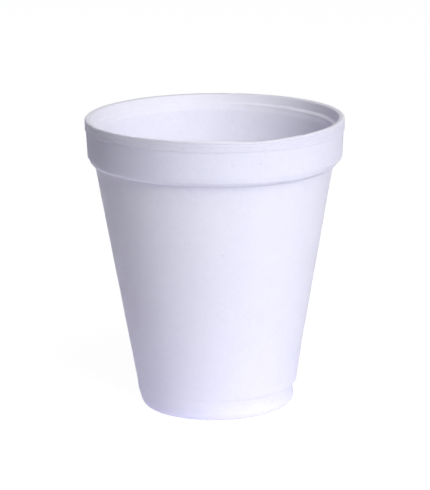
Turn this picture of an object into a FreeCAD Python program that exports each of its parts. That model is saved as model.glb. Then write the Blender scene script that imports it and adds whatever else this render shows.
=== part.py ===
# Foam cup: a one-piece cup of moulded bead foam for 8 US fluid ounces, empty, without a lid.
#
# Frame: millimetres, +Z up, the cup's axis on Z and its foot ring standing on Z = 0.
# Outside, from the standing surface up: a short stepped-in foot, a long tapered body, a
# shoulder, a plain band, and a bead that a press-on lid grips. Inside, one cone runs from the
# floor to a stacking ledge just below the lip. The underside has a shallow recess.

import FreeCAD, Part
import os
import Sketcher

NODE = "foam_cup"

# Every size that can be set by itself: alias, millimetres, meaning.
SIZES = (
    ("cup_height", 91.0, "standing surface to the top of the lip"),
    ("lip_radius", 40.0, "outside of the lid bead, the widest place"),
    ("lip_wall", 1.8, "foam between the lid bead and the mouth, above the ledge"),
    ("lip_flat", 0.1, "flat left between the two rounded edges of the lip"),
    ("bead_height", 3.5, "top of the lip down to the bead's lower edge"),
    ("bead_step", 0.4, "how far the bead stands out from the band, and its sloping underside"),
    ("bead_round", 0.3, "rounding of the bead's lower edge"),
    ("band_height", 8.1, "plain band from the bead's underside down to the shoulder"),
    ("band_draw", 0.4, "how much narrower in radius the band is at its lower end"),
    ("shoulder_height", 3.0, "height over which the band runs into the body"),
    ("shoulder_step", 2.5, "how much narrower in radius the shoulder is at its lower end"),
    ("shoulder_round", 4.0, "rounding above and below the shoulder"),
    ("wall_thickness", 2.2, "foam in the tapered wall, square to its surface"),
    ("foot_height", 6.4, "standing surface to the step under the body"),
    ("foot_step", 0.6, "how far the body stands out over the foot"),
    ("foot_step_rise", 0.9, "height of the sloping step under the body"),
    ("foot_radius", 24.0, "foot at the standing surface, before its corner is rounded"),
    ("foot_draw", 0.3, "how much wider in radius the foot is at its top"),
    ("foot_corner", 3.4, "rounding of the foot's outer corner, if its ring is wide enough"),
    ("ring_land", 0.5, "least flat left on the foot ring, between its two rounded edges"),
    ("floor_thickness", 2.8, "foam between the cup's floor and the recess below it"),
    ("floor_corner", 3.0, "rounding between the floor and the wall inside"),
    ("ledge_depth", 3.6, "top of the lip down to the stacking ledge"),
    ("ledge_round", 0.4, "rounding of the stacking ledge's two edges"),
    ("recess_depth", 1.6, "recess in the underside"),
    ("recess_radius", 17.5, "recess at the standing surface, where the foot ring begins"),
    ("recess_draw", 0.8, "how much narrower in radius the recess is at its roof"),
    ("recess_round", 0.5, "rounding of the recess's rim and of its corner"),
    ("overcut", 2.0, "how far a cutting outline runs out past the surface that it opens"),
)

# Places worked out from those sizes, as expressions that sketches and fillets are tied to.
AXIS = "0"
GROUND = "0"
LIP_TOP = "Sizes.cup_height"
LIP_RADIUS = "Sizes.lip_radius"
MOUTH_RADIUS = "(Sizes.lip_radius - Sizes.lip_wall)"
LIP_ROUND = "(Sizes.lip_wall - Sizes.lip_flat) / 2"
BEAD_BOTTOM = "(Sizes.cup_height - Sizes.bead_height)"
BAND_TOP = f"({BEAD_BOTTOM} - Sizes.bead_step)"
BAND_TOP_RADIUS = "(Sizes.lip_radius - Sizes.bead_step)"
SHOULDER_TOP = f"({BAND_TOP} - Sizes.band_height)"
SHOULDER_TOP_RADIUS = f"({BAND_TOP_RADIUS} - Sizes.band_draw)"
BODY_TOP = f"({SHOULDER_TOP} - Sizes.shoulder_height)"
BODY_TOP_RADIUS = f"({SHOULDER_TOP_RADIUS} - Sizes.shoulder_step)"
BODY_FOOT = "(Sizes.foot_height + Sizes.foot_step_rise)"
FOOT_TOP_RADIUS = "(Sizes.foot_radius + Sizes.foot_draw)"
BODY_FOOT_RADIUS = f"({FOOT_TOP_RADIUS} + Sizes.foot_step)"
BODY_SLOPE = f"(({BODY_TOP_RADIUS} - {BODY_FOOT_RADIUS}) / ({BODY_TOP} - {BODY_FOOT}))"
WALL_ACROSS = f"(Sizes.wall_thickness * sqrt(1 + {BODY_SLOPE} ^ 2))"
FOOT_TOP = "Sizes.foot_height"
FOOT_RADIUS = "Sizes.foot_radius"
RING_WIDTH = "(Sizes.foot_radius - Sizes.recess_radius)"
FOOT_CORNER = f"min(Sizes.foot_corner, {RING_WIDTH} - Sizes.recess_round - Sizes.ring_land)"
FLOOR = "(Sizes.recess_depth + Sizes.floor_thickness)"
LEDGE = "(Sizes.cup_height - Sizes.ledge_depth)"
RECESS_ROOF = "Sizes.recess_depth"
RECESS_RADIUS = "Sizes.recess_radius"
RECESS_ROOF_RADIUS = "(Sizes.recess_radius - Sizes.recess_draw)"
ABOVE_LIP = "(Sizes.cup_height + Sizes.overcut)"
BELOW_GROUND = "-Sizes.overcut"

# Sketcher's numbers for its own axes and for the two ends of a line.
SKETCH_AXES = {"DistanceX": -2, "DistanceY": -1}
ORIGIN = (-1, 1)
START = 1
END = 2

FULL_TURN = 360.0       # degrees
SAME_PLACE = 0.001      # millimetres: two rings nearer than this are the same ring


def inside_wall_radius(height):
    """Radius of the inner cone at a height: the body's cone moved in by the wall."""
    return f"({BODY_FOOT_RADIUS} + {BODY_SLOPE} * ({height} - {BODY_FOOT}) - {WALL_ACROSS})"


def make_sheet(doc):
    """The spreadsheet of driving sizes: name, value and meaning on each row."""
    sheet = doc.addObject("Spreadsheet::Sheet", "Sizes")
    for row, (alias, value, meaning) in enumerate(SIZES, start=1):
        sheet.set(f"A{row}", alias)
        sheet.set(f"B{row}", str(value))
        sheet.setAlias(f"B{row}", alias)
        sheet.set(f"C{row}", meaning)
    doc.recompute()


def make_body(doc, label):
    """A body whose label names the file that it is written to."""
    body = doc.addObject("PartDesign::Body", "Cup")
    body.Label = label
    return body


def tie(sketch, kind, line, expression, name):
    """Tie the start of a line to a radius (DistanceX) or a height (DistanceY)."""
    value = sketch.evalExpression(expression)
    if value == 0:
        sketch.addConstraint(Sketcher.Constraint("PointOnObject", line, START, SKETCH_AXES[kind]))
        return
    row = sketch.addConstraint(Sketcher.Constraint(kind, *ORIGIN, line, START, value))
    sketch.renameConstraint(row, name)
    sketch.setExpression(f"Constraints.{name}", expression)


def draw_outline(body, name, corners):
    """A sketch on the body's XZ plane of a closed outline through named corners.

    Each corner is (name, radius, height), and its radius and height are expressions.
    """
    sketch = body.newObject("Sketcher::SketchObject", name)
    plane = next(item for item in body.Origin.OriginFeatures if item.Role == "XZ_Plane")
    sketch.AttachmentSupport = [(plane, "")]
    sketch.MapMode = "FlatFace"
    places = []
    for _, radius, height in corners:
        across = sketch.evalExpression(radius)
        up = sketch.evalExpression(height)
        places.append(FreeCAD.Vector(across, up, 0))
    for here, there in zip(places, places[1:] + places[:1]):
        sketch.addGeometry(Part.LineSegment(here, there), False)
    for line in range(len(corners)):
        next_line = (line + 1) % len(corners)
        sketch.addConstraint(Sketcher.Constraint("Coincident", line, END, next_line, START))
    for line, (corner, radius, height) in enumerate(corners):
        tie(sketch, "DistanceX", line, radius, f"{corner}_radius")
        tie(sketch, "DistanceY", line, height, f"{corner}_height")
    return sketch


def turn(body, kind, name, sketch):
    """Turn an outline a full circle about the cup's axis, to add or to cut."""
    feature = body.newObject(kind, name)
    feature.Profile = sketch
    feature.ReferenceAxis = (sketch, ["V_Axis"])
    feature.Angle = FULL_TURN
    body.Document.recompute()
    return feature


def cut(body, name, sketch):
    """Cut a turned outline out of the body, and make sure that foam was removed."""
    before = body.Shape.Volume
    groove = turn(body, "PartDesign::Groove", name, sketch)
    if not groove.Shape.Volume < before:
        raise RuntimeError(f"{name} cut nothing")
    return groove


def ring_edge(feature, radius, height):
    """Name of the feature's circular edge at a radius and a height."""
    ring_radius = feature.evalExpression(radius)
    ring_height = feature.evalExpression(height)
    for number, edge in enumerate(feature.Shape.Edges, start=1):
        curve = edge.Curve
        if not isinstance(curve, Part.Circle):
            continue
        off_radius = abs(curve.Radius - ring_radius)
        off_height = abs(curve.Center.z - ring_height)
        if off_radius < SAME_PLACE and off_height < SAME_PLACE:
            return f"Edge{number}"
    raise LookupError(f"{feature.Label} has no ring of {ring_radius} at {ring_height}")


def round_rings(body, name, radius, rings):
    """Round circular edges, each given as (radius, height), by a fillet radius."""
    base = body.Tip
    fillet = body.newObject("PartDesign::Fillet", name)
    fillet.Base = (base, [ring_edge(base, *ring) for ring in rings])
    fillet.setExpression("Radius", radius)
    body.Document.recompute()


def make_blank(body):
    """The cup's outside, solid right through."""
    outline = draw_outline(body, "OutsideOutline", (
        ("underside", AXIS, GROUND),
        ("foot", FOOT_RADIUS, GROUND),
        ("foot_top", FOOT_TOP_RADIUS, FOOT_TOP),
        ("body_foot", BODY_FOOT_RADIUS, BODY_FOOT),
        ("body_top", BODY_TOP_RADIUS, BODY_TOP),
        ("shoulder_top", SHOULDER_TOP_RADIUS, SHOULDER_TOP),
        ("band_top", BAND_TOP_RADIUS, BAND_TOP),
        ("bead_bottom", LIP_RADIUS, BEAD_BOTTOM),
        ("lip", LIP_RADIUS, LIP_TOP),
        ("top", AXIS, LIP_TOP),
    ))
    turn(body, "PartDesign::Revolution", "Outside", outline)


def cut_drink_space(body):
    """The space for the drink: floor, tapered wall, stacking ledge and mouth."""
    outline = draw_outline(body, "DrinkOutline", (
        ("floor", AXIS, FLOOR),
        ("floor_edge", inside_wall_radius(FLOOR), FLOOR),
        ("wall_top", inside_wall_radius(LEDGE), LEDGE),
        ("ledge_edge", MOUTH_RADIUS, LEDGE),
        ("mouth_edge", MOUTH_RADIUS, ABOVE_LIP),
        ("mouth", AXIS, ABOVE_LIP),
    ))
    cut(body, "DrinkSpace", outline)


def cut_recess(body):
    """The shallow recess in the underside, which leaves the foot ring."""
    outline = draw_outline(body, "RecessOutline", (
        ("below", AXIS, BELOW_GROUND),
        ("below_edge", RECESS_RADIUS, BELOW_GROUND),
        ("rim", RECESS_RADIUS, GROUND),
        ("roof_edge", RECESS_ROOF_RADIUS, RECESS_ROOF),
        ("roof", AXIS, RECESS_ROOF),
    ))
    cut(body, "Recess", outline)


def round_edges(body):
    """The soft edges of moulded foam."""
    round_rings(body, "LipRounds", LIP_ROUND, (
        (LIP_RADIUS, LIP_TOP),
        (MOUTH_RADIUS, LIP_TOP),
    ))
    round_rings(body, "BeadRound", "Sizes.bead_round", (
        (LIP_RADIUS, BEAD_BOTTOM),
    ))
    round_rings(body, "ShoulderRounds", "Sizes.shoulder_round", (
        (SHOULDER_TOP_RADIUS, SHOULDER_TOP),
        (BODY_TOP_RADIUS, BODY_TOP),
    ))
    round_rings(body, "LedgeRounds", "Sizes.ledge_round", (
        (inside_wall_radius(LEDGE), LEDGE),
        (MOUTH_RADIUS, LEDGE),
    ))
    round_rings(body, "FloorCorner", "Sizes.floor_corner", (
        (inside_wall_radius(FLOOR), FLOOR),
    ))
    round_rings(body, "FootCorner", FOOT_CORNER, (
        (FOOT_RADIUS, GROUND),
    ))
    round_rings(body, "RecessRounds", "Sizes.recess_round", (
        (RECESS_RADIUS, GROUND),
        (RECESS_ROOF_RADIUS, RECESS_ROOF),
    ))


def check(doc, bodies):
    """Stop before anything is written if a feature failed or a shape is not sound."""
    for item in doc.Objects:
        if "Invalid" in item.State or "Error" in item.State:
            raise RuntimeError(f"{item.Label} failed: {item.State}")
    for body in bodies:
        shape = body.Shape
        if shape.isNull() or not shape.isValid() or len(shape.Solids) != 1:
            raise RuntimeError(f"{body.Label} is not one valid solid")


def main():
    doc = FreeCAD.newDocument("FoamCup")
    make_sheet(doc)
    cup = make_body(doc, NODE)
    make_blank(cup)
    cut_drink_space(cup)
    cut_recess(cup)
    round_edges(cup)
    doc.recompute()
    check(doc, [cup])
    os.makedirs("parts", exist_ok=True)
    cup.Shape.exportStep(f"parts/{cup.Label}.step")
    print(f"{cup.Label}: {cup.Shape.Volume:.1f} cubic mm, {cup.Shape.optimalBoundingBox()}")


main()
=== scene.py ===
"""Foam cup: the looks of a one-piece cup of moulded bead foam, empty and without a lid.

Metres, +Z up, the cup's axis on Z and its foot ring on Z = 0. The front is towards -Y.
"""
import math

import bpy
import numpy as np
from mathutils import Matrix, Vector, noise


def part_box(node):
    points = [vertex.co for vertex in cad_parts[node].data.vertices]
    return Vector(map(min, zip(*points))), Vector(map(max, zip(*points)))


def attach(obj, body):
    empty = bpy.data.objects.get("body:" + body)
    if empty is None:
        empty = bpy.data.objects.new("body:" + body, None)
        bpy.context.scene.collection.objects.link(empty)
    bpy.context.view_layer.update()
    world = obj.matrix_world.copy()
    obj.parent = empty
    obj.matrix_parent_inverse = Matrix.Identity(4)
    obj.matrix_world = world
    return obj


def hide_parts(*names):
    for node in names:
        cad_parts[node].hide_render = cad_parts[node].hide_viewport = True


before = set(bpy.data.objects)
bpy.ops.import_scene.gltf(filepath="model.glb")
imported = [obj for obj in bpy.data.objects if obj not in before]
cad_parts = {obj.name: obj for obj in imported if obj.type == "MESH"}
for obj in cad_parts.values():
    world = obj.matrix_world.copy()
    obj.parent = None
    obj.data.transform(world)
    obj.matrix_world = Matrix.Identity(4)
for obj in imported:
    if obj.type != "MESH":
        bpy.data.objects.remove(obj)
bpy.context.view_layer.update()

MM = 0.001

# ---- sizes of the cup -------------------------------------------------------------------

CUP_LOW, CUP_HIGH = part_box("foam_cup")
LIP_TOP = CUP_HIGH.z
LIP_RADIUS = (CUP_HIGH.x - CUP_LOW.x) / 2 - 0.15 * MM

LIP_WALL = 1.75 * MM
LIP_DISH = 0.26 * MM
LIP_OUTER_ROUND = 0.55 * MM
LIP_INNER_ROUND = 0.3 * MM
LIP_GROOVE = 0.1 * MM
BEAD_HEIGHT = 3.5 * MM
BEAD_STEP = 0.27 * MM
BAND_HEIGHT = 8.1 * MM
BAND_DRAW = 0.4 * MM
SHOULDER_HEIGHT = 2.5 * MM
SHOULDER_STEP = 2.42 * MM
WALL = 2.23 * MM
FOOT_HEIGHT = 6.4 * MM
FOOT_STEP = 0.6 * MM
FOOT_STEP_RISE = 0.9 * MM
FOOT_RADIUS = 23.85 * MM
FOOT_DRAW = 0.3 * MM
FOOT_CORNER = 2.5 * MM
FLOOR_THICKNESS = 2.8 * MM
FLOOR_CORNER = 3.0 * MM
LEDGE_DEPTH = 3.7 * MM
LEDGE_RISE = 0.6 * MM
LEDGE_GROOVE = 0.22 * MM
RECESS_DEPTH = 1.6 * MM
RECESS_RADIUS = 17.5 * MM
RECESS_DRAW = 0.8 * MM

MOUTH_RADIUS = LIP_RADIUS - LIP_WALL
BEAD_BOTTOM = LIP_TOP - BEAD_HEIGHT
BAND_TOP = BEAD_BOTTOM - BEAD_STEP
BAND_RADIUS = LIP_RADIUS - BEAD_STEP
SHOULDER_TOP = BAND_TOP - BAND_HEIGHT
SHOULDER_RADIUS = BAND_RADIUS - BAND_DRAW
BODY_TOP = SHOULDER_TOP - SHOULDER_HEIGHT
BODY_TOP_RADIUS = SHOULDER_RADIUS - SHOULDER_STEP
BODY_FOOT = FOOT_HEIGHT + FOOT_STEP_RISE
FOOT_TOP_RADIUS = FOOT_RADIUS + FOOT_DRAW
BODY_FOOT_RADIUS = FOOT_TOP_RADIUS + FOOT_STEP
TAPER = (BODY_TOP_RADIUS - BODY_FOOT_RADIUS) / (BODY_TOP - BODY_FOOT)
FLOOR = RECESS_DEPTH + FLOOR_THICKNESS
LEDGE = LIP_TOP - LEDGE_DEPTH
LEDGE_HOLLOW = LEDGE - 0.7 * MM
LEDGE_FOOT = LEDGE - 1.9 * MM

# How finely the turned surface is divided: round the axis, and along each stretch of outline.
SEGMENTS = 304
FINE = 0.72 * MM
SHOULDER_STEPS = 0.4 * MM
INSIDE = 1.05 * MM
HIDDEN = 1.8 * MM
ARC_STEP = math.radians(14)


def inside_radius(height):
    """Radius of the tapered inside wall at a height."""
    return BODY_FOOT_RADIUS + TAPER * (height - BODY_FOOT) - WALL


# Corners of the turned outline: radius, height, rounding, spacing of points up to the next
# corner. It starts on the axis under the cup and ends on the axis on the cup's floor.
OUTLINE = (
    (0, RECESS_DEPTH, 0, HIDDEN),
    (RECESS_RADIUS - RECESS_DRAW, RECESS_DEPTH, 0.5 * MM, HIDDEN),
    (RECESS_RADIUS, 0, 0.5 * MM, HIDDEN),
    (FOOT_RADIUS, 0, FOOT_CORNER, FINE),
    (FOOT_TOP_RADIUS, FOOT_HEIGHT, 0.5 * MM, FINE),
    (BODY_FOOT_RADIUS, BODY_FOOT, 0.5 * MM, FINE),
    (BODY_TOP_RADIUS, BODY_TOP, 0.2 * MM, SHOULDER_STEPS),
    (SHOULDER_RADIUS - 1.2 * MM, SHOULDER_TOP - 2.15 * MM, 0.9 * MM, SHOULDER_STEPS),
    (SHOULDER_RADIUS - 0.25 * MM, SHOULDER_TOP - 1.3 * MM, 1.1 * MM, SHOULDER_STEPS),
    (SHOULDER_RADIUS, SHOULDER_TOP, 2.0 * MM, FINE),
    (BAND_RADIUS, BAND_TOP, 0.2 * MM, FINE),
    (LIP_RADIUS, BEAD_BOTTOM, 0.3 * MM, FINE),
    (LIP_RADIUS, LIP_TOP - 1.35 * MM, 0.2 * MM, FINE),
    (LIP_RADIUS - LIP_GROOVE, LIP_TOP - 1.1 * MM, 0.15 * MM, FINE),
    (LIP_RADIUS, LIP_TOP - 0.8 * MM, 0.1 * MM, FINE),
    (LIP_RADIUS, LIP_TOP, LIP_OUTER_ROUND, FINE),
    (MOUTH_RADIUS, LIP_TOP - LIP_DISH, LIP_INNER_ROUND, FINE),
    (MOUTH_RADIUS, LEDGE + LEDGE_RISE, 0.3 * MM, FINE),
    (inside_radius(LEDGE), LEDGE, 0.3 * MM, FINE),
    (inside_radius(LEDGE_HOLLOW) + LEDGE_GROOVE, LEDGE_HOLLOW, 0.3 * MM, FINE),
    (inside_radius(LEDGE_FOOT), LEDGE_FOOT, 1.2 * MM, INSIDE),
    (inside_radius(FLOOR), FLOOR, FLOOR_CORNER, HIDDEN),
    (0, FLOOR, 0, HIDDEN),
)

# How far the cup leans to the right, in mm, at each height.
LEAN = (
    (0, -0.3),
    (FOOT_HEIGHT, -0.3),
    (BODY_FOOT, 0.0),
    (BODY_TOP, -0.14),
    (SHOULDER_TOP, 0.14),
    (LIP_TOP, 0.14),
)

# Soft dips of the lip, and dents in it: angle from the front towards the right, half width in
# degrees, depth in mm. A depth below 0 is a rise.
LIP_DIPS = (
    (12, 50, 0.55),
    (18, 11, 0.42),
    (-2, 28, -0.5),
    (-42, 18, -0.17),
)
LIP_NICKS = (
    (43.4, 0.9, 0.28),
    (28.1, 0.8, 0.22),
    (-3.0, 1.0, 0.12),
    (-38.0, 1.2, 0.14),
    (171.0, 1.3, 0.16),
)
LIP_LOWERED = 0.12

# Soft dips of the line under the band, given as the lip's are.
LINE_DIPS = (
    (50, 48, 0.45),
    (-50, 35, -0.16),
    (110, 40, 0.12),
    (74, 10, 0.22),
    (-165, 50, -0.7),
)
LINE_DIP_REACH = 8 * MM

# How the lip's top is dished further at the left of the front.
DISH_DEPTH = 0.5 * MM
DISH_REACH = 3 * MM
DISH_FADE = 2.4 * MM

# How much of each step the moulding has filled.
FOOT_FILL = 0.55
BODY_FOOT_FILL = 0.35 * MM
BODY_FOOT_FILL_REACH = 14 * MM
FOOT_CORNER_SHIFT = 0.48 * MM
BEAD_FILL = 0.1 * MM
BEAD_FILL_REACH = 3 * MM
SHOULDER_WORN_RIGHT = 1.0 * MM
SHOULDER_WORN_LEFT = 0.5 * MM
LEDGE_FILL = 0.85
LEDGE_KEPT = 0.42

# Low waves of the skin: their height in mm and their length.
BROAD_WAVE, BROAD_LENGTH = 0.05, 11 * MM
FLUTE_WAVE, FLUTE_LENGTH, FLUTE_RISE = 0.03, 3.2 * MM, 16 * MM
RIPPLE_LENGTH = 4.5 * MM
RIPPLE_SHIFT = Vector((7, 3, 5))
RIPPLE_LEFT, RIPPLE_RIGHT = 0.16, 0.10


# ---- the turned shape -------------------------------------------------------------------

def arc_at(before, corner, after, rounding):
    """Points of the arc that rounds a corner between its two neighbours."""
    back = (before - corner).normalized()
    onward = (after - corner).normalized()
    turn = math.pi - back.angle(onward)
    reach = rounding * math.tan(turn / 2)
    middle = (back + onward).normalized()
    centre = corner + middle * (rounding / math.cos(turn / 2))
    start = corner + back * reach - centre
    end = corner + onward * reach - centre
    steps = max(2, math.ceil(turn / ARC_STEP))
    points = []
    for step in range(steps + 1):
        share = step / steps
        blend = (math.sin((1 - share) * turn) * start + math.sin(share * turn) * end)
        points.append(centre + blend / math.sin(turn))
    return points


def outline_points():
    """The whole outline as (radius, height) points: arcs at corners, even steps between."""
    corners = [Vector((radius, height)) for radius, height, _, _ in OUTLINE]
    stretches = []
    for index, (_, _, rounding, _) in enumerate(OUTLINE):
        if rounding:
            arc = arc_at(corners[index - 1], corners[index], corners[index + 1], rounding)
        else:
            arc = [corners[index]]
        stretches.append(arc)
    points = []
    for index, arc in enumerate(stretches):
        points.extend(arc)
        if index + 1 < len(stretches):
            start, end = arc[-1], stretches[index + 1][0]
            steps = max(1, round((end - start).length / OUTLINE[index][3]))
            points.extend(start.lerp(end, step / steps) for step in range(1, steps))
    return np.array([point[:] for point in points])


def turned_mesh(name, places):
    """A closed mesh from a grid of places, rows along the outline and columns round it.

    The first and the last row lie on the axis, so each becomes one vertex.
    """
    rows, columns = places.shape[:2]
    body = places[1:-1].reshape(-1, 3)
    vertices = np.vstack([places[0, :1], body, places[-1, :1]])
    first, last = 0, len(vertices) - 1
    faces = []
    for column in range(columns):
        following = (column + 1) % columns
        faces.append((first, 1 + following, 1 + column))
    for row in range(rows - 3):
        low = 1 + row * columns
        high = low + columns
        for column in range(columns):
            following = (column + 1) % columns
            faces.append((low + column, low + following, high + following, high + column))
    top = 1 + (rows - 3) * columns
    for column in range(columns):
        following = (column + 1) % columns
        faces.append((top + column, top + following, last))
    mesh = bpy.data.meshes.new(name)
    mesh.from_pydata(vertices.tolist(), [], faces)
    mesh.shade_smooth()
    mesh.validate()
    return mesh


def swell(turn, centre, width):
    """A soft rise, 1 at an angle round the cup and fading to 0 at a width to each side."""
    apart = np.angle(np.exp(1j * (turn - math.radians(centre))))
    return np.exp(-(apart / math.radians(width)) ** 2)


def swells(turn, rises):
    """Several soft rises together, each given as its centre, width and height."""
    return sum(height * swell(turn, centre, width) for centre, width, height in rises)


def out_of_true(height, turn):
    """How far the cup leans sideways and dips, as moulded and handled.

    The band sits a little to the right of the body and the foot to the left of it. The lip is
    lower at the front right. The turn is an angle from the front towards the right.
    """
    levels, leans = zip(*LEAN)
    aside = np.interp(height, levels, leans) * MM
    lip_dip = LIP_LOWERED + swells(turn, LIP_DIPS + LIP_NICKS)
    line_dip = swells(turn, LINE_DIPS)
    low = np.clip((height - BODY_TOP + LINE_DIP_REACH) / LINE_DIP_REACH, 0, 1)
    share = np.clip((height - BEAD_BOTTOM) / BEAD_HEIGHT, 0, 1)
    dip = (low * (1 - share) * line_dip + share * lip_dip) * MM
    return aside, dip


def dished_lip(radius, height, turn):
    """How far the lip's top falls away inwards, at the left of the front."""
    across_lip = np.clip((radius - MOUTH_RADIUS) / (LIP_RADIUS - MOUTH_RADIUS), 0, 1)
    near_top = np.clip((height - LIP_TOP + DISH_REACH) / DISH_FADE, 0, 1)
    return DISH_DEPTH * swell(turn, -50, 55) * (1 - across_lip) * near_top


def filled_foot(height, turn):
    """The foot's step shows on the right and fades elsewhere, where the body runs on to it."""
    right = swell(turn, 92, 31)
    body_at_floor = BODY_FOOT_RADIUS - TAPER * BODY_FOOT
    gap_at_floor = body_at_floor - FOOT_RADIUS
    gap_at_step = BODY_FOOT_RADIUS - FOOT_TOP_RADIUS - TAPER * FOOT_STEP_RISE
    gap = np.interp(height, [0, FOOT_HEIGHT, BODY_FOOT], [gap_at_floor, gap_at_step, 0])
    body = np.interp(height, [BODY_FOOT, BODY_FOOT + BODY_FOOT_FILL_REACH], [BODY_FOOT_FILL, 0])
    body = body * (height > FOOT_HEIGHT)
    corner = np.clip(height / (1.2 * MM), 0, 1) * np.clip((5 * MM - height) / (2.6 * MM), 0, 1)
    return (1 - right) * FOOT_FILL * gap + right * body + corner * FOOT_CORNER_SHIFT * np.sin(turn)


def filled_bead(height, turn):
    """The bead's step fades at the front."""
    levels = [BAND_TOP - BEAD_FILL_REACH, BAND_TOP, BEAD_BOTTOM]
    return np.interp(height, levels, [0, 1, 0]) * BEAD_FILL * swell(turn, 2, 55)


def worn_shoulder(height, turn):
    """The slope under the band is worn back at the right and the left."""
    levels = [BODY_TOP, BODY_TOP + 0.6 * MM, SHOULDER_TOP - 0.8 * MM, SHOULDER_TOP]
    slope = np.interp(height, levels, [0, 1, 1, 0])
    worn = SHOULDER_WORN_RIGHT * swell(turn, 90, 26) + SHOULDER_WORN_LEFT * swell(turn, -86, 20)
    return -slope * worn


def filled_ledge(radius, height, turn):
    """The lid's ledge inside fades at the left and the back."""
    ledge_top = LIP_TOP - LIP_INNER_ROUND
    straight = np.interp(height, [LEDGE_FOOT, ledge_top], [inside_radius(LEDGE_FOOT), MOUTH_RADIUS])
    in_mouth = (height > LEDGE_FOOT) * (height < ledge_top)
    return in_mouth * (LEDGE_FILL - LEDGE_KEPT * swell(turn, 112, 42)) * (straight - radius)


def softened(radius, height, outside, turn):
    """Radii round the cup, where the moulding has filled or worn its steps."""
    outer = filled_foot(height, turn) + filled_bead(height, turn) + worn_shoulder(height, turn)
    return radius + outside * outer + (1 - outside) * filled_ledge(radius, height, turn)


def unevenness(places, height):
    """Low waves of the moulded skin: in and out of the wall, and up and down its edges."""
    away, lift = np.zeros(places.shape[:2]), np.zeros(places.shape[:2])
    for row in range(1, len(places) - 1):
        level = height[row, 0]
        near_edge = math.exp(-((level - SHOULDER_TOP) / (6 * MM)) ** 2)
        near_edge += math.exp(-((level - BEAD_BOTTOM) / (4 * MM)) ** 2)
        for column, place in enumerate(places[row]):
            spot = Vector(place)
            broad = noise.noise(spot / BROAD_LENGTH)
            upright = Vector((spot.x / FLUTE_LENGTH, spot.y / FLUTE_LENGTH, level / FLUTE_RISE))
            flutes = noise.noise(upright)
            ripple = noise.noise(spot / RIPPLE_LENGTH + RIPPLE_SHIFT)
            away[row, column] = BROAD_WAVE * broad + FLUTE_WAVE * flutes * min(1, near_edge + 0.25)
            rough = RIPPLE_LEFT if place[0] < 0 else RIPPLE_RIGHT
            lift[row, column] = rough * ripple * min(1, near_edge)
    free = np.clip(height / (3 * MM), 0, 1)
    below_lip = np.clip((LIP_TOP - height) / (1.2 * MM), 0, 1)
    return away * free * MM, lift * below_lip * MM


def make_cup():
    """The cup's one moulding, turned from its outline."""
    outline = outline_points()
    angles = np.linspace(0, 2 * math.pi, SEGMENTS, endpoint=False)
    turn = angles + math.pi / 2
    radius, height = outline[:, :1], outline[:, 1:]
    around = np.stack([np.cos(angles), np.sin(angles)], axis=1)
    outside = np.arange(len(outline))[:, None] < np.argmax(outline[:, 1])
    full = softened(radius, height, outside, turn)
    aside, dip = out_of_true(height, turn)
    dip = dip + dished_lip(radius, height, turn)
    places = np.stack([full * around[:, 0] + aside, full * around[:, 1], height - dip], axis=2)
    away, lift = unevenness(places, height)
    places[..., 0] += away * around[:, 0]
    places[..., 1] += away * around[:, 1]
    places[..., 2] += lift
    cup = bpy.data.objects.new("cup_moulding", turned_mesh("cup_moulding", places))
    bpy.context.scene.collection.objects.link(cup)
    return cup


# ---- shaders ----------------------------------------------------------------------------

class Wire:
    """A shader socket that works in Python arithmetic: each operation adds a Math node."""

    def __init__(self, graph, socket):
        self.graph = graph
        self.socket = socket

    def maths(self, operation, *values):
        return self.graph.add("ShaderNodeMath", {"operation": operation}, dict(enumerate(values)))

    def __add__(self, other):
        return self.maths("ADD", self, other)

    def __sub__(self, other):
        return self.maths("SUBTRACT", self, other)

    def __rsub__(self, other):
        return self.maths("SUBTRACT", other, self)

    def __mul__(self, other):
        return self.maths("MULTIPLY", self, other)

    __radd__ = __add__
    __rmul__ = __mul__


class Graph:
    """One node tree, with one way to add a node to it."""

    def __init__(self, owner):
        owner.use_nodes = True
        self.tree = owner.node_tree
        self.tree.nodes.clear()

    def add(self, kind, settings, inputs, output=0):
        """Add a node, set its settings, then its sockets; gives one of its outputs."""
        node = self.tree.nodes.new(kind)
        for name, value in settings.items():
            setattr(node, name, value)
        for name, value in inputs.items():
            if isinstance(value, Wire):
                self.tree.links.new(value.socket, node.inputs[name])
            else:
                node.inputs[name].default_value = value
        return Wire(self, node.outputs[output]) if len(node.outputs) else None

    def seen_directly(self):
        """1 for what the camera and reflections see, 0 for the light that falls on things."""
        kinds = ("Is Camera Ray", "Is Glossy Ray", "Is Transmission Ray")
        camera, glossy, through = [self.add("ShaderNodeLightPath", {}, {}, kind) for kind in kinds]
        return self.add("ShaderNodeMath", {"operation": "ADD", "use_clamp": True},
                        {0: camera + glossy, 1: through})

    def ramp(self, value, start, end):
        """0 where the value is at the start, 1 where it is at the end, soft between."""
        return self.add("ShaderNodeMapRange", {"interpolation_type": "SMOOTHSTEP"},
                        {"Value": value, "From Min": start, "From Max": end})

    def noise(self, place, size, detail=2.0):
        """Cloudy variation about 0.5, with features of a size in metres."""
        return self.add("ShaderNodeTexNoise", {},
                        {"Vector": place, "Scale": 1 / size, "Detail": detail}, "Fac")

    def cells(self, place, size, feature, output):
        """A pattern of packed cells of a size in metres."""
        return self.add("ShaderNodeTexVoronoi", {"feature": feature},
                        {"Vector": place, "Scale": 1 / size}, output)


FOAM_WHITE = (0.835, 0.827, 0.955, 1)
FOAM_SHADE = (0.700, 0.690, 0.832, 1)
BEAD = 2.1 * MM
MARK_PLACE = (4.91 * MM, -39.2 * MM, 83.25 * MM)
MARK_RADIUS = 0.75 * MM
FLECK_PLACE = (-9.5 * MM, 33.8 * MM, 82.5 * MM)
FLECK_REACH = 9.5 * MM


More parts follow.
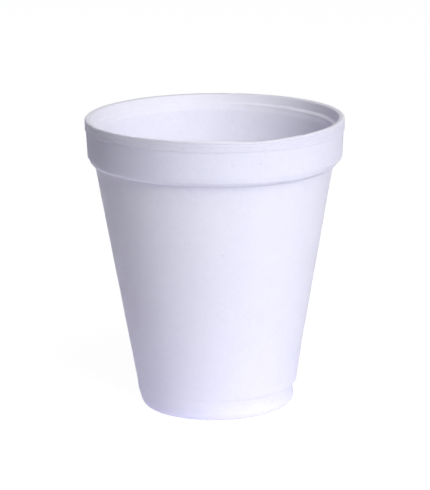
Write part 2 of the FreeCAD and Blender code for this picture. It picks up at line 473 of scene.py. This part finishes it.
def bead_foam():
    """Moulded bead foam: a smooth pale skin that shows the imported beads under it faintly."""
    material = bpy.data.materials.new("bead_foam")
    graph = Graph(material)
    place = graph.add("ShaderNodeTexCoord", {}, {}, "Object")

    # Beads differ a little in size and shape, so the cells are bent by a slow drift first.
    drift = graph.add("ShaderNodeTexNoise", {}, {"Vector": place, "Scale": 1 / (3.4 * MM)}, "Color")
    sway = graph.add("ShaderNodeVectorMath", {"operation": "SCALE"}, {0: drift, "Scale": 1.3 * MM})
    bent = graph.add("ShaderNodeVectorMath", {"operation": "ADD"}, {0: place, 1: sway})
    edge = graph.cells(bent, BEAD, "DISTANCE_TO_EDGE", "Distance")
    own_tone = graph.cells(bent, BEAD, "F1", "Color")
    seam = 1 - graph.ramp(edge, 0.0, 0.11)
    dome = graph.ramp(edge, 0.0, 0.45)

    # Seams between beads come and go, as the skin closes over some and not over others.
    showing = graph.ramp(graph.noise(place, 6 * MM), 0.40, 0.64)
    open_seam = seam * (0.3 + 0.7 * showing)

    # Small pits stay where three or four beads meet, here and there.
    pit_gap = graph.cells(place, 3.1 * MM, "F1", "Distance")
    pit_field = graph.ramp(graph.noise(place, 13 * MM), 0.53, 0.66)
    pit = (1 - graph.ramp(pit_gap, 0.05, 0.13)) * pit_field

    # A small round mark left by the mould, on the front of the band.
    offset = graph.add("ShaderNodeVectorMath", {"operation": "DISTANCE"},
                       {0: place, 1: MARK_PLACE}, "Value")
    mark = graph.ramp(offset, MARK_RADIUS, 0.6 * MARK_RADIUS)
    mark_rim = mark * (1 - mark) * 4

    # The lip is rubbed and crumbly along its edge, most of all on the left. These masks also place
    # painted shade: the outside of the band and lip is painted darker, most on the shaded left.
    level = graph.add("ShaderNodeSeparateXYZ", {}, {"Vector": place}, "Z")
    across = graph.add("ShaderNodeSeparateXYZ", {}, {"Vector": place}, "X")
    at_lip = graph.ramp(level, LIP_TOP - 4.5 * MM, LIP_TOP - 2.5 * MM)
    painted_band_shade = graph.ramp(level, BODY_TOP, SHOULDER_TOP)
    flat = graph.add("ShaderNodeVectorMath", {"operation": "MULTIPLY"}, {0: place, 1: (1, 1, 0)})
    radius = graph.add("ShaderNodeVectorMath", {"operation": "LENGTH"}, {0: flat}, "Value")
    wall_middle = level * TAPER + (BODY_FOOT_RADIUS - BODY_FOOT * TAPER - WALL / 2)
    lip_edge = LIP_RADIUS - 0.4 * MM
    above_ledge = graph.ramp(level, LEDGE - MM, LEDGE)
    middle = wall_middle + above_ledge * (lip_edge - inside_radius(LEDGE + 2 * MM) - WALL / 2)
    outside = graph.ramp(radius - middle, -0.3 * MM, 0.3 * MM)
    left = graph.ramp(across, -4 * MM, -28 * MM)
    flattened = graph.add("ShaderNodeVectorMath", {"operation": "MULTIPLY"}, {0: place, 1: (1, 1, 5)})
    streak = graph.ramp(graph.noise(flattened, 2.6 * MM, 4.0), 0.50, 0.58)
    rubbed = streak * at_lip * outside * (0.2 + 0.8 * left)

    # A patch of small flecks on the inside, at the back on the left.
    away = graph.add("ShaderNodeVectorMath", {"operation": "DISTANCE"},
                     {0: place, 1: FLECK_PLACE}, "Value")
    fleck_gap = graph.cells(place, 2.3 * MM, "F1", "Distance")
    in_patch = graph.ramp(away, FLECK_REACH, 0.3 * FLECK_REACH)
    fleck = (1 - graph.ramp(fleck_gap, 0.08, 0.2)) * in_patch

    grain = graph.noise(place, 0.42 * MM, 3.0)
    height = (dome * (0.008 * MM)
              - open_seam * (0.012 * MM)
              - pit * (0.09 * MM)
              - mark * (0.05 * MM)
              - rubbed * (0.16 * MM)
              + fleck * (0.10 * MM)
              + grain * (0.008 * MM))
    bump = graph.add("ShaderNodeBump", {}, {"Height": height, "Strength": 1, "Distance": 1})

    tone = graph.add("ShaderNodeSeparateColor", {}, {"Color": own_tone}, "Red")
    mottle = graph.noise(place, 9 * MM, 3.0)
    # Painted shade: the outside of the wall is painted darker than the inside, so the inside carries
    # painted light. The band is darker still, most on its shaded left, and the lip too. The seams,
    # bead tones, mottle, pits, mark rim, rubbed streaks and flecks are the foam's own marks.
    shade = (open_seam * 0.10
             + tone * 0.08
             + mottle * 0.10
             + pit * 0.45
             + mark_rim * 0.18
             + outside * (painted_band_shade * (0.3 + 0.45 * left) + at_lip * 0.3 + 0.26)
             + rubbed * 0.6
             - fleck * 0.5)
    color = graph.add("ShaderNodeMix", {"data_type": "RGBA"},
                      {"Factor": shade, "A": FOAM_WHITE, "B": FOAM_SHADE}, 2)
    roughness = 0.5 + 0.1 * mottle + 0.12 * open_seam + 0.1 * pit
    shader = graph.add("ShaderNodeBsdfPrincipled", {}, {
        "Base Color": color,
        "Roughness": roughness,
        "IOR": 1.4,
        "Subsurface Weight": 0.4,
        "Subsurface Radius": (5, 5, 5),
        "Subsurface Scale": MM,
        "Normal": bump,
    })
    graph.add("ShaderNodeOutputMaterial", {}, {"Surface": shader})
    return material


# ---- stage ------------------------------------------------------------------------------

POOL_COLOR = (0.68, 0.64, 1.0, 1)
POOL_STRENGTH = 0.35
POOL_EDGE = 0.2
POOL_MIDDLE = 0.03
FLOOR_REACH = 3.0
FLOOR_SHADE = (0.9, 0.9, 0.9, 1)
FLOOR_GLOW = 1.13
FLOOR_GLOW_SHARE = 0.85
STUDIO_DIM = 0.005
BLACK = (0, 0, 0, 1)
WHITE = (1, 1, 1, 1)

LAMP_DISTANCE = 1.2
LAMP_SIZE = 0.55


def make_floor():
    """A wide pale floor that shows white and keeps the cup's shadow."""
    mesh = bpy.data.meshes.new("floor")
    signs = ((-1, -1), (1, -1), (1, 1), (-1, 1))
    corners = [(x * FLOOR_REACH, y * FLOOR_REACH, 0) for x, y in signs]
    mesh.from_pydata(corners, [], [(0, 1, 2, 3)])
    floor = bpy.data.objects.new("floor", mesh)
    bpy.context.scene.collection.objects.link(floor)
    material = bpy.data.materials.new("white_sweep")
    graph = Graph(material)
    paper = graph.add("ShaderNodeBsdfDiffuse", {}, {"Color": FLOOR_SHADE})

    # A pool of light on the floor round the cup, as from a lit table, that fades outwards.
    place = graph.add("ShaderNodeTexCoord", {}, {}, "Object")
    away = graph.add("ShaderNodeVectorMath", {"operation": "LENGTH"}, {0: place}, "Value")
    dark = graph.add("ShaderNodeEmission", {}, {"Color": BLACK, "Strength": 0})
    lit = graph.add("ShaderNodeEmission", {}, {"Color": POOL_COLOR, "Strength": POOL_STRENGTH})
    seen = graph.seen_directly()
    near = graph.ramp(away, POOL_EDGE, POOL_MIDDLE) * (1 - seen)
    pool = graph.add("ShaderNodeMixShader", {}, {0: near, 1: dark, 2: lit})
    lit_paper = graph.add("ShaderNodeAddShader", {}, {0: paper, 1: pool})

    white = graph.add("ShaderNodeEmission", {}, {"Color": WHITE, "Strength": FLOOR_GLOW})
    surface = graph.add("ShaderNodeMixShader", {},
                        {0: seen * FLOOR_GLOW_SHARE, 1: lit_paper, 2: white})
    graph.add("ShaderNodeOutputMaterial", {}, {"Surface": surface})
    mesh.materials.append(material)


def make_world():
    """White where the camera sees it, and a dim studio for the light that falls on the cup."""
    world = bpy.data.worlds.new("studio")
    bpy.context.scene.world = world
    graph = Graph(world)
    dim = graph.add("ShaderNodeBackground", {}, {"Color": WHITE, "Strength": STUDIO_DIM})
    white = graph.add("ShaderNodeBackground", {}, {"Color": WHITE, "Strength": 1})
    seen = graph.seen_directly()
    light = graph.add("ShaderNodeMixShader", {}, {0: seen, 1: dim, 2: white})
    graph.add("ShaderNodeOutputWorld", {}, {"Surface": light})


def add_lamp(name, azimuth, elevation, power, color):
    """A square soft lamp aimed at the cup: azimuth 0 is the front, 90 is the right."""
    lamp = bpy.data.lights.new(name, "AREA")
    lamp.shape = "SQUARE"
    lamp.size = LAMP_SIZE
    lamp.energy = power
    lamp.color = color
    holder = bpy.data.objects.new(name, lamp)
    across, up = math.radians(azimuth), math.radians(elevation)
    level = math.cos(up)
    direction = Vector((math.sin(across) * level, -math.cos(across) * level, math.sin(up)))
    holder.location = Vector((0, 0, LIP_TOP / 2)) + direction * LAMP_DISTANCE
    holder.rotation_euler = direction.to_track_quat("Z", "Y").to_euler()
    bpy.context.scene.collection.objects.link(holder)


CAMERA_AIM = Vector((-0.11, 0, 50.05)) * MM
CAMERA_DISTANCE = 781.2 * MM
CAMERA_ELEVATION = math.radians(13.66)
CAMERA_ROLL = math.radians(-0.5)
CAMERA_LENS = 184.9


def make_camera():
    """A long lens a little above the lip, looking along +Y."""
    data = bpy.data.cameras.new("camera")
    data.lens = CAMERA_LENS
    data.clip_start = 0.01
    camera = bpy.data.objects.new("camera", data)
    tilt = Matrix.Rotation(math.pi / 2 - CAMERA_ELEVATION, 3, "X")
    roll = Matrix.Rotation(CAMERA_ROLL, 3, "Z")
    turn = tilt @ roll
    place = CAMERA_AIM + turn @ Vector((0, 0, CAMERA_DISTANCE))
    camera.matrix_world = Matrix.Translation(place) @ turn.to_4x4()
    bpy.context.scene.collection.objects.link(camera)
    bpy.context.scene.camera = camera


def main():
    scene = bpy.context.scene
    scene.view_settings.view_transform = "Standard"
    make_camera()
    make_floor()
    make_world()
    add_lamp("key", 30, 30, 9.0, (0.94, 0.97, 1.0))
    add_lamp("side", 60, 30, 2.6, (1.0, 0.98, 0.94))
    add_lamp("top", 10, 60, 4.7, (1.0, 0.97, 0.87))
    add_lamp("back", -150, 30, 1.2, (0.60, 0.54, 1.0))
    cup = make_cup()
    cup.data.materials.append(bead_foam())
    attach(cup, "root")
    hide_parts("foam_cup")


main()
